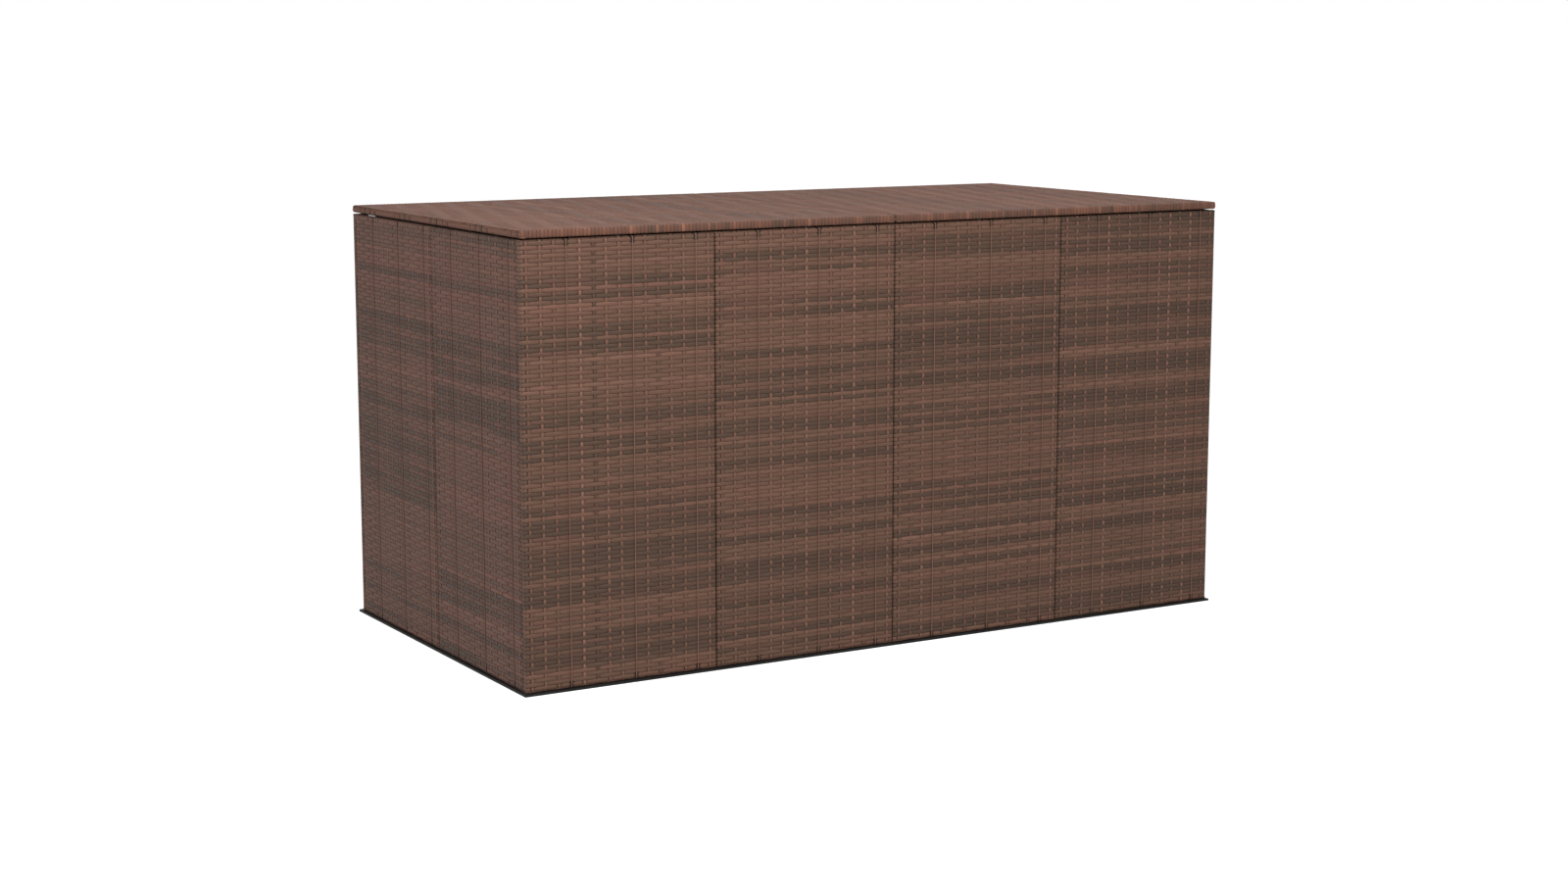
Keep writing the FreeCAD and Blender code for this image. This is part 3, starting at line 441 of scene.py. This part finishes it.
# the strips of one panel, in mm: along the rows, inward from the outer face, and up
def weavePanel(width, height, seed, rowTones, look):
    rng = np.random.default_rng(seed)
    radius = weave["edgeRadius"]
    upPath, upStarts = edgePath(height)
    acrossPath, acrossStarts = edgePath(width)
    stakeCount = round(width / weave["stakePitch"])
    stakeU = (np.arange(stakeCount) + 0.5) * width / stakeCount
    stakeU = stakeU + rng.uniform(-weave["stakeJitter"], weave["stakeJitter"], stakeCount)
    faceCount = rowsIn(height)
    facePitch = (height - 2 * radius) / faceCount
    wrapRows = weave["wrapRows"]
    wrapLength = upStarts[4]
    wrapPitch = wrapLength / wrapRows
    rowT = np.concatenate([(np.arange(wrapRows) + 0.5) * wrapPitch,
                           upStarts[4] + (np.arange(faceCount) + 0.5) * facePitch,
                           upStarts[5] + (np.arange(wrapRows) + 0.5) * wrapPitch])
    rowHalf = np.full(len(rowT), weave["rowHeight"] / 2)
    rowHalf[:wrapRows] = rowHalf[-wrapRows:] = weave["wrapShare"] * wrapPitch
    rowT = rowT + rng.uniform(-weave["rowJitter"], weave["rowJitter"], len(rowT))
    rowNumber = np.arange(len(rowT))
    stakeNumber = np.arange(stakeCount)
    binding = np.isin(stakeNumber % weave["bindingEvery"], look["bindingStakes"])
    # a stake lies over a share of each repeat, which shifts along from stake to stake
    under = (rowNumber[:, None] + look["shift"] * stakeNumber[None, :]) % look["repeat"] < look["over"]
    under = under | binding[None, :]

    # rows: points at each side of each stake, where it holds the row and where it lets go
    hold, release = weave["stakeHold"], weave["stakeRelease"]
    faceU = np.concatenate([[c - release, c - hold, c + hold, c + release] for c in stakeU])
    dips = np.repeat(under, 4, axis=1).astype(float)
    dips[:, 0::4] = 0
    dips[:, 3::4] = 0
    flatStart = radius + 0.5
    keep = (faceU > flatStart) & (faceU < width - flatStart)
    faceU, dips = faceU[keep], dips[:, keep]
    rowDepth = weave["overDepth"] + (weave["underDepth"] - weave["overDepth"]) * dips
    stray = rng.uniform(-weave["depthJitter"], weave["depthJitter"], rowDepth.shape)
    rowDepth = rowDepth + stray * (dips < 0.5)

    half, out = np.array(rowSection).T
    endT = np.array([0, acrossStarts[1], acrossStarts[1] + radius * math.pi / 4, acrossStarts[2],
                     acrossStarts[3], acrossStarts[3] + radius * math.pi / 4, acrossStarts[4]])
    total = acrossStarts[-1]
    pathT = np.concatenate([endT, acrossStarts[4] - radius + faceU, total - endT[::-1]])
    path = acrossPath(pathT)
    endDepth = np.full((faceCount, len(endT)), weave["edgeDepth"])
    faceRows = slice(wrapRows, wrapRows + faceCount)
    depthAlong = np.concatenate([endDepth, rowDepth[faceRows], endDepth], axis=1)
    sunk = depthAlong[:, :, None] - out[None, None, :]
    s, n, k = sunk.shape
    rows = np.empty((s, n, k, 3))
    rows[..., 0] = path[None, :, None, 0] - path[None, :, None, 2] * sunk
    rows[..., 1] = path[None, :, None, 1] - path[None, :, None, 3] * sunk
    rowW = radius + (rowT[faceRows] - upStarts[4])
    rows[..., 2] = rowW[:, None, None] + half[None, None, :] * rowHalf[faceRows][:, None, None]
    rowAlong = np.broadcast_to(pathT[None, :], (s, n))
    rowSet = (rows, rowTones[:faceCount], rowAlong, half * weave["rowHeight"] / 2)

    # rows that lie round the top and bottom edges
    wrapIndex = np.concatenate([np.arange(wrapRows), len(rowT) - wrapRows + np.arange(wrapRows)])
    wrapU = np.concatenate([[weave["wrapInset"]], faceU, [width - weave["wrapInset"]]])
    flatEnd = np.full((len(wrapIndex), 1), weave["edgeDepth"])
    wrapDepth = np.maximum(rowDepth[wrapIndex], weave["edgeDepth"])
    wrapDepth = np.concatenate([flatEnd, wrapDepth, flatEnd], axis=1)
    profile = upPath(rowT[wrapIndex][:, None] + half[None, :] * rowHalf[wrapIndex][:, None])
    sunk = wrapDepth[:, :, None] - out[None, None, :]
    wraps = np.empty(sunk.shape + (3,))
    wraps[..., 0] = wrapU[None, :, None]
    wraps[..., 1] = profile[:, None, :, 1] - profile[:, None, :, 3] * sunk
    wraps[..., 2] = profile[:, None, :, 0] - profile[:, None, :, 2] * sunk
    wrapTones = np.concatenate([np.repeat(rowTones[:1], wrapRows), np.repeat(rowTones[-1:], wrapRows)])
    wrapTones = wrapTones + rng.uniform(-weave["wrapSpread"], weave["wrapSpread"], len(wrapTones))
    wrapAlong = np.broadcast_to(wrapU[None, :], (len(wrapIndex), len(wrapU)))
    wrapSet = (wraps, wrapTones, wrapAlong, half * weave["rowHeight"] / 2)

    # stakes: two points at each row
    sideS, outS = np.array(stakeSection).T
    halfS = np.where(binding, weave["bindingWidth"], weave["stakeWidth"])[:, None] * sideS[None, :] / 2
    bend = weave["stakeGrip"] * rowHalf
    stakeT = np.stack([rowT - bend, rowT + bend], axis=1).reshape(-1)
    over = np.repeat(under.T, 2, axis=1).astype(float)
    stakeDepth = weave["underDepth"] + (weave["overDepth"] - weave["underDepth"]) * over
    onFace = (stakeT > upStarts[4]) & (stakeT < upStarts[5])
    stakeDepth = np.where(onFace, stakeDepth, np.maximum(stakeDepth, weave["edgeDepth"]))
    line = upPath(stakeT)
    sunk = stakeDepth[:, :, None] - outS[None, None, :]
    stakes = np.empty(sunk.shape + (3,))
    stakes[..., 0] = stakeU[:, None, None] - halfS[:, None, :]
    stakes[..., 1] = line[None, :, None, 1] - line[None, :, None, 3] * sunk
    stakes[..., 2] = line[None, :, None, 0] - line[None, :, None, 2] * sunk
    stakeTones = np.clip(rng.normal(look["stakeTone"], weave["stakeSpread"], stakeCount), 0.1, 1)
    stakeTones[binding] = look["bindingTone"]
    stakeAlong = np.broadcast_to(stakeT[None, :], (stakeCount, len(stakeT)))
    stakeSet = (stakes, stakeTones, stakeAlong, sideS * weave["stakeWidth"] / 2)
    return rowSet, wrapSet, stakeSet


def turnedTo(entry, origin, uAxis, depthAxis, wAxis):
    # from the panel's own axes in mm to the box's in metres
    verts, tone, along, across = entry
    basis = np.array([uAxis, depthAxis, wAxis], float)
    return verts @ basis * mm + np.array(origin), tone, along, across


def randomTones(count, seed, middle=0.58, dark=0.2, share=0.3, spread=0.09):
    # rows come in groups of one to four from the same reel
    rng = np.random.default_rng(seed)
    tones = []
    while len(tones) < count:
        level = dark if rng.random() < share else middle
        tones += [level + rng.normal(0, 0.04)] * int(rng.integers(1, 5))
    return np.clip(np.array(tones[:count]) + rng.normal(0, spread, count), 0.02, 1)


# tones run from 0, dark, to 1, light. These rows of the front panels are dark, counted from the top
darkBands = {
    1: [(9, 10), (12, 13), (20, 22), (24, 26), (41, 43), (47, 49), (51, 51), (59, 60), (63, 64), (66, 70),
        (73, 77), (79, 79), (82, 86), (94, 97), (99, 101)],
    2: [(5, 6), (9, 9), (16, 17), (19, 20), (29, 30), (34, 36), (39, 40), (42, 42), (46, 49), (52, 52),
        (56, 57), (69, 70), (75, 76), (81, 86), (89, 92), (97, 97), (99, 100), (103, 103)],
    3: [(3, 7), (16, 19), (23, 24), (26, 31), (33, 35), (38, 40), (46, 47), (49, 50), (52, 52), (66, 67),
        (69, 70), (72, 73), (79, 79), (83, 84), (87, 88), (95, 97), (103, 105)],
    4: [(0, 4), (6, 9), (13, 15), (17, 17), (21, 21), (24, 28), (31, 33), (37, 42), (46, 50), (53, 55),
        (61, 64), (71, 72), (74, 76), (81, 83), (91, 91), (94, 96), (101, 104)],
}


def frontTones(panel, count):
    rng = np.random.default_rng(40 + panel)
    fromTop = np.clip(0.6 + rng.normal(0, 0.09, count), 0.3, 0.95)
    for first, last in darkBands[panel]:
        fromTop[first:last + 1] = 0.22 + rng.normal(0, 0.08, last + 1 - first)
    return np.clip(fromTop[::-1], 0.02, 1)


# a stake or cord lies over some rows of each repeat, and the next stake's start is shifted from it
wallLook = dict(bindingStakes=(3,), stakeTone=0.78, bindingTone=0.85, repeat=2, over=1, shift=1)
lidLook = dict(bindingStakes=(), stakeTone=0.55, bindingTone=0.8, repeat=7, over=4, shift=1)


def wallPanel(nodeName, origin, uAxis, depthAxis, width, height, tones, seed, material):
    sets = weavePanel(width, height, seed, tones, wallLook)
    sets = [turnedTo(entry, origin, uAxis, depthAxis, (0, 0, 1)) for entry in sets]
    piece = meshFromStrips(f"woven_{nodeName}", sets, material)
    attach(piece, "root")
    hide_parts(nodeName)
    return piece


for number in range(1, 5):
    lo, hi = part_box(f"front_weave_{number}")
    width, height = (hi.x - lo.x) / mm, (hi.z - lo.z) / mm
    wallPanel(f"front_weave_{number}", (lo.x, lo.y, lo.z), (1, 0, 0), (0, 1, 0), width, height,
              frontTones(number, rowsIn(height)), 10 + number, wallRattan)
    lo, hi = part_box(f"back_weave_{number}")
    wallPanel(f"back_weave_{number}", (hi.x, hi.y, lo.z), (-1, 0, 0), (0, -1, 0), width, height,
              randomTones(rowsIn(height), 60 + number), 20 + number, wallRattan)
for number in range(1, 3):
    lo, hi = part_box(f"left_weave_{number}")
    width, height = (hi.y - lo.y) / mm, (hi.z - lo.z) / mm
    wallPanel(f"left_weave_{number}", (lo.x, hi.y, lo.z), (0, -1, 0), (1, 0, 0), width, height,
              randomTones(rowsIn(height), 70 + number), 30 + number, endRattan)
    lo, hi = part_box(f"right_weave_{number}")
    wallPanel(f"right_weave_{number}", (hi.x, lo.y, lo.z), (0, 1, 0), (-1, 0, 0), width, height,
              randomTones(rowsIn(height), 80 + number), 35 + number, endRattan)
print("walls woven")

for index, side in enumerate(("left", "right")):
    lo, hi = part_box(f"lid_weave_{side}")
    width, height = (hi.y - lo.y) / mm, (hi.x - lo.x) / mm
    tones = randomTones(rowsIn(height), 90 + index, middle=0.58, dark=0.42, share=0.25)
    # painted highlight on the lid: the fourth row of each repeat is lightened in place of light caught by the
    # weave
    tones[3::lidLook["repeat"]] += 0.16           # painted highlight: one row of each repeat is made lighter
    sets = weavePanel(width, height, 50 + index, tones, lidLook)
    sets = [turnedTo(entry, (hi.x, lo.y, hi.z), (0, 1, 0), (0, 0, -1), (-1, 0, 0)) for entry in sets]
    rows = meshFromStrips(f"woven_lid_{side}", sets[:2], lidRattan)
    stakes = meshFromStrips(f"woven_lid_stakes_{side}", sets[2:], lidRattan)
    for piece in (rows, stakes):
        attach(piece, "lid")
    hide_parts(f"lid_weave_{side}")
print("lid woven")


# soft parts

# a cloth surface from a grid of points in metres, given its thickness
def gridMesh(name, points, material, thickness, closed=False):
    rows, columns = points.shape[:2]
    index = np.arange(rows * columns).reshape(rows, columns)
    right = np.roll(index, -1, axis=1) if closed else index[:, 1:]
    left = index if closed else index[:, :-1]
    faces = np.stack([left[:-1], right[:-1], right[1:], left[1:]], axis=-1).reshape(-1, 4)
    mesh = bpy.data.meshes.new(name)
    mesh.from_pydata(points.reshape(-1, 3).tolist(), [], faces.tolist())
    mesh.validate()
    mesh.shade_smooth()
    mesh.materials.append(material)
    piece = bpy.data.objects.new(name, mesh)
    bpy.context.scene.collection.objects.link(piece)
    solid = piece.modifiers.new("thickness", "SOLIDIFY")
    solid.thickness = thickness
    solid.offset = 0
    return piece


def smoothNoise(along, up, seed, wave):
    # a few crossing waves with random phases, from -1 to 1
    rng = np.random.default_rng(seed)
    total = np.zeros(np.broadcast(along, up).shape)
    for _ in range(7):
        a, b = rng.uniform(0.5, 1.5, 2) * 2 * math.pi / wave
        total = total + np.sin(along * a * rng.choice([-1, 1]) + up * b * 0.6 + rng.uniform(0, 2 * math.pi))
    return total / 7


# lengths in mm: a sewn polyester bag that hangs slack between its straps and its end rods
bag = dict(
    thickness=1.2, cornerRadius=35, footRadius=30, floorGap=0.3,
    hemSag=13, endSag=6.5, inwardSag=12, endWallShare=0.8,        # how the top edge and the walls droop
    wrinkle=3.5, wrinkleSize=260, foldAmount=5, foldWidth=30,
    floorRise=3.0, floorWave=300,
    levels=44, around=420, footSteps=6, floorRings=26, weld=0.3,
)
lo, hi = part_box("liner")
strapLo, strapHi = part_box("liner_straps")
frontLo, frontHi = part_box("front_weave_1")
panelWidth = (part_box("front_weave_2")[0].x - frontLo.x) / mm
strapX = [(frontLo.x + frontHi.x) / 2 / mm + panelWidth * i for i in range(4)]
halfLength = (hi.x - lo.x) / 2 / mm - bag["thickness"]
middleY = (hi.y + lo.y) / 2 / mm
halfWidth = (hi.y - lo.y) / 2 / mm - bag["thickness"]
floorZ, topZ = lo.z / mm + bag["thickness"] / 2 + bag["floorGap"], hi.z / mm


def roundedOutline(halfX, halfY, radius, count):
    # points and outward directions round a rectangle with rounded corners, evenly spaced
    straight = [2 * (halfX - radius), math.pi / 2 * radius, 2 * (halfY - radius), math.pi / 2 * radius] * 2
    ends = np.cumsum(straight)
    t = np.arange(count) / count * ends[-1]
    x, y, nx, ny = (np.zeros(count) for _ in range(4))
    corners = [(halfX - radius, -halfY + radius), (halfX - radius, halfY - radius),
               (-halfX + radius, halfY - radius), (-halfX + radius, -halfY + radius)]
    for side, (cx, cy) in enumerate(corners):
        heading = math.pi / 2 * side
        start = ends[2 * side] - straight[2 * side]
        on = (t >= start) & (t < ends[2 * side])
        run = t[on] - ends[2 * side]
        nx[on], ny[on] = math.sin(heading), -math.cos(heading)
        x[on] = cx + radius * math.sin(heading) + run * math.cos(heading)
        y[on] = cy - radius * math.cos(heading) + run * math.sin(heading)
        on = (t >= ends[2 * side]) & (t < ends[2 * side + 1])
        turn = heading + (t[on] - ends[2 * side]) / radius
        nx[on], ny[on] = np.sin(turn), -np.cos(turn)
        x[on], y[on] = cx + radius * np.sin(turn), cy - radius * np.cos(turn)
    return x, y, nx, ny


x, y, nx, ny = roundedOutline(halfLength, halfWidth, bag["cornerRadius"], bag["around"])
onLongWall = np.abs(ny) > 0.9
nearest = np.min([np.abs(x - place) for place in strapX], axis=0)
fromStrap = np.clip(nearest / (panelWidth / 2), 0, 1)
fromEnd = np.clip((halfLength - np.abs(x)) / (halfLength - max(strapX)), 0, 1)
hem = np.where(onLongWall, bag["hemSag"] * (1 - (1 - fromStrap) ** 2) ** 2, 0.0)
hem = np.where(onLongWall & (np.abs(x) > max(strapX)), bag["endSag"] * np.sin(fromEnd * math.pi), hem)
around = np.arange(bag["around"]) / bag["around"] * 4 * (halfLength + halfWidth)
rows = []
# walls, from the hem down
for level in np.linspace(0, 1, bag["levels"]):
    height = topZ - hem + (floorZ + bag["footRadius"] - topZ + hem) * level
    belly = math.sin(math.pi * level)
    slack = bag["inwardSag"] * belly ** 0.8 * np.where(onLongWall, 1, bag["endWallShare"])
    creases = bag["wrinkle"] * (1 + smoothNoise(around, height * 0.5, 5, bag["wrinkleSize"])) * belly ** 0.5
    folds = bag["foldAmount"] * np.exp(-(nearest / bag["foldWidth"]) ** 2) * level * math.exp(-3 * level)
    inward = slack + creases + np.where(onLongWall, folds, 0)
    rows.append(np.stack([x - nx * inward, y - ny * inward + middleY, height], axis=-1))
# the rounded foot, then the floor in rings to the middle
wallFoot = rows[-1]
for turn in np.linspace(0, math.pi / 2, bag["footSteps"])[1:]:
    inward = bag["footRadius"] * (1 - math.cos(turn))
    rows.append(np.stack([wallFoot[:, 0] - nx * inward, wallFoot[:, 1] - ny * inward,
                          floorZ + bag["footRadius"] * (1 - math.sin(turn)) + 0 * x], axis=-1))
rim = rows[-1]
for share in np.linspace(0, 1, bag["floorRings"])[1:-1]:
    across = rim[:, :2] * (1 - share) + np.array([0, middleY]) * share * np.ones((len(x), 1))
    ruck = 1 + smoothNoise(across[:, 0], across[:, 1] * 1.7, 9, bag["floorWave"])
    lift = bag["floorRise"] * ruck * min(1, 6 * share)
    rows.append(np.stack([across[:, 0], across[:, 1], floorZ + lift], axis=-1))
rows.append(np.stack([0 * x, 0 * x + middleY, 0 * x + floorZ + bag["floorRise"]], axis=-1))
bagPiece = gridMesh("liner_bag", np.array(rows) * mm, linerCloth, bag["thickness"] * mm, closed=True)
merge = bagPiece.modifiers.new("centre", "WELD")
merge.merge_threshold = bag["weld"] * mm
bagPiece.modifiers.move(1, 0)

# sleeves of the bag's ends, sewn round the rods with a tail on each side of the end wall
sleeve = dict(radius=7.0, wrapFrom=205, wrapTo=-35, wrapSteps=26, innerTail=0.8, outerTail=0.9,
              tailDrop=14.5, tailLength=26, thickness=1.0, rodClear=4.0, steps=90,
              ripple=0.5, rippleSize=90, rippleRise=40)
rodLo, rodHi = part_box("liner_rods")
rodX, rodZ = hi.x / mm, (rodLo.z + rodHi.z) / 2 / mm
tailTop = topZ - sleeve["tailDrop"]
tailFoot = tailTop - sleeve["tailLength"]
wrap = np.radians(np.linspace(sleeve["wrapFrom"], sleeve["wrapTo"], sleeve["wrapSteps"]))
outline = [(halfLength - sleeve["innerTail"], tailFoot), (halfLength - sleeve["innerTail"], tailTop)]
for angle in wrap:
    outline.append((rodX + sleeve["radius"] * math.cos(angle), rodZ + sleeve["radius"] * math.sin(angle)))
outline += [(halfLength + sleeve["outerTail"], tailTop), (halfLength + sleeve["outerTail"], tailFoot)]
outline = np.array(outline)
alongY = np.linspace(rodLo.y / mm + sleeve["rodClear"], rodHi.y / mm - sleeve["rodClear"], sleeve["steps"])
for side, sign in (("left", -1), ("right", 1)):
    waves = smoothNoise(alongY[:, None], outline[None, :, 1] * 3, 14 + sign, sleeve["rippleSize"])
    rise = np.clip((outline[None, :, 1] - tailTop) / sleeve["rippleRise"], 0, 1)
    ripple = sleeve["ripple"] * (1 + waves) * rise
    points = np.empty((len(alongY), len(outline), 3))
    points[..., 0] = sign * (outline[None, :, 0] + ripple)
    points[..., 1] = alongY[:, None]
    points[..., 2] = outline[None, :, 1] + ripple
    piece = gridMesh(f"liner_sleeve_{side}", points * mm, linerCloth, sleeve["thickness"] * mm)
    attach(piece, "root")
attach(bagPiece, "root")
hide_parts("liner")

# straps: short tabs of webbing, screwed to the wall and sewn to the bag
strap = dict(width=25, thickness=1.4, bow=0.15, endClear=0.4, steps=12)
webSection = ((-1, 0.35), (-0.92, 1), (0, 1.06), (0.92, 1), (1, 0.35), (0.92, 0.05), (-0.92, 0.05))
sides = len(webSection)
strapTop = strapHi.z / mm - strap["endClear"]
strapRun = (strapHi.z - strapLo.z) / mm - 2 * strap["endClear"]
vertices, faces = [], []
for wallY, inward in ((strapLo.y / mm, 1), (strapHi.y / mm, -1)):
    for centre in strapX:
        first = len(vertices)
        for line in range(strap["steps"] + 1):
            share = line / strap["steps"]
            bow = strap["bow"] * math.sin(math.pi * share)
            for part, out in webSection:
                vertices.append(((centre + part * strap["width"] / 2) * mm,
                                 (wallY + inward * (out * strap["thickness"] + bow)) * mm,
                                 (strapTop - share * strapRun) * mm))
        last = len(vertices) - sides
        rings = []
        for start in range(first, last, sides):
            for side in range(sides):
                near, far = start + side, start + (side + 1) % sides
                rings.append([near, far, far + sides, near + sides])
        rings.append(list(range(first + sides - 1, first - 1, -1)))
        rings.append(list(range(last, last + sides)))
        faces += [face[::inward] for face in rings]
tabs = bpy.data.meshes.new("liner_tabs")
tabs.from_pydata(vertices, [], faces)
tabs.validate()
tabs.shade_smooth()
tabs.materials.append(strapWebbing)
tabsPiece = bpy.data.objects.new("liner_tabs", tabs)
bpy.context.scene.collection.objects.link(tabsPiece)
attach(tabsPiece, "root")
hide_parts("liner_straps")
print("soft parts made")


# studio

def areaLight(name, place, target, size, power):
    light = bpy.data.lights.new(name, "AREA")
    light.shape = "RECTANGLE"
    light.size, light.size_y = size
    light.energy = power
    lamp = bpy.data.objects.new(name, light)
    lamp.location = place
    lamp.rotation_euler = (Vector(target) - Vector(place)).to_track_quat("-Z", "Y").to_euler()
    bpy.context.scene.collection.objects.link(lamp)


# metres and watts
studio = dict(floorColour="#a8a8a8", floorGlow=0.66, floorReach=60, floorDrop=0.0005,
              skyColour="#ffffff", skyStrength=1.0)
lamps = dict(
    top=dict(place=(0.5, -1.2, 4.2), target=(0, 0, 1.0), size=(5, 4), power=160),
    front=dict(place=(-1.7, -2.3, 2.5), target=(-0.1, -0.4, 1.1), size=(3, 1.2), power=120),
)
reach = studio["floorReach"]
floorMesh = bpy.data.meshes.new("studio_floor")
floorMesh.from_pydata([(-reach, -reach, 0), (reach, -reach, 0), (reach, reach, 0), (-reach, reach, 0)], [],
                      [(0, 1, 2, 3)])
floor = bpy.data.objects.new("studio_floor", floorMesh)
floor.location.z = -studio["floorDrop"]
bpy.context.scene.collection.objects.link(floor)
# opal acrylic lit from below: the eye sees plain white, with a faint shadow at the box's foot
floorMaterial, _, floorShader = newMaterial("opalLightTable")
floorShader.inputs["Base Color"].default_value = linearColour(studio["floorColour"])
floorShader.inputs["Roughness"].default_value = 0.9
floorShader.inputs["Specular IOR Level"].default_value = 0.1
floorShader.inputs["Emission Color"].default_value = linearColour("#ffffff")
floorShader.inputs["Emission Strength"].default_value = studio["floorGlow"]
floorMesh.materials.append(floorMaterial)

world = bpy.data.worlds.new("studio")
bpy.context.scene.world = world
world.use_nodes = True
sky = world.node_tree.nodes["Background"]
sky.inputs["Color"].default_value = linearColour(studio["skyColour"])
sky.inputs["Strength"].default_value = studio["skyStrength"]
for lampName, lampLook in lamps.items():
    areaLight(lampName, **lampLook)
bpy.context.scene.view_settings.view_transform = "Standard"

# mm, degrees and metres
camera = dict(lens=58.46, sensorWidth=36, yaw=30.552, pitch=8.989, place=(-3.2558, -5.4959, 1.4384),
              farthest=100)
cameraData = bpy.data.cameras.new("camera")
cameraData.lens = camera["lens"]
cameraData.sensor_width = camera["sensorWidth"]
cameraData.clip_end = camera["farthest"]
cameraObject = bpy.data.objects.new("camera", cameraData)
yaw, pitch = math.radians(camera["yaw"]), math.radians(camera["pitch"])
forward = Vector((math.sin(yaw) * math.cos(pitch), math.cos(yaw) * math.cos(pitch), -math.sin(pitch)))
cameraObject.location = camera["place"]
cameraObject.rotation_euler = forward.to_track_quat("-Z", "Y").to_euler()
bpy.context.scene.collection.objects.link(cameraObject)
bpy.context.scene.camera = cameraObject
print("studio done")
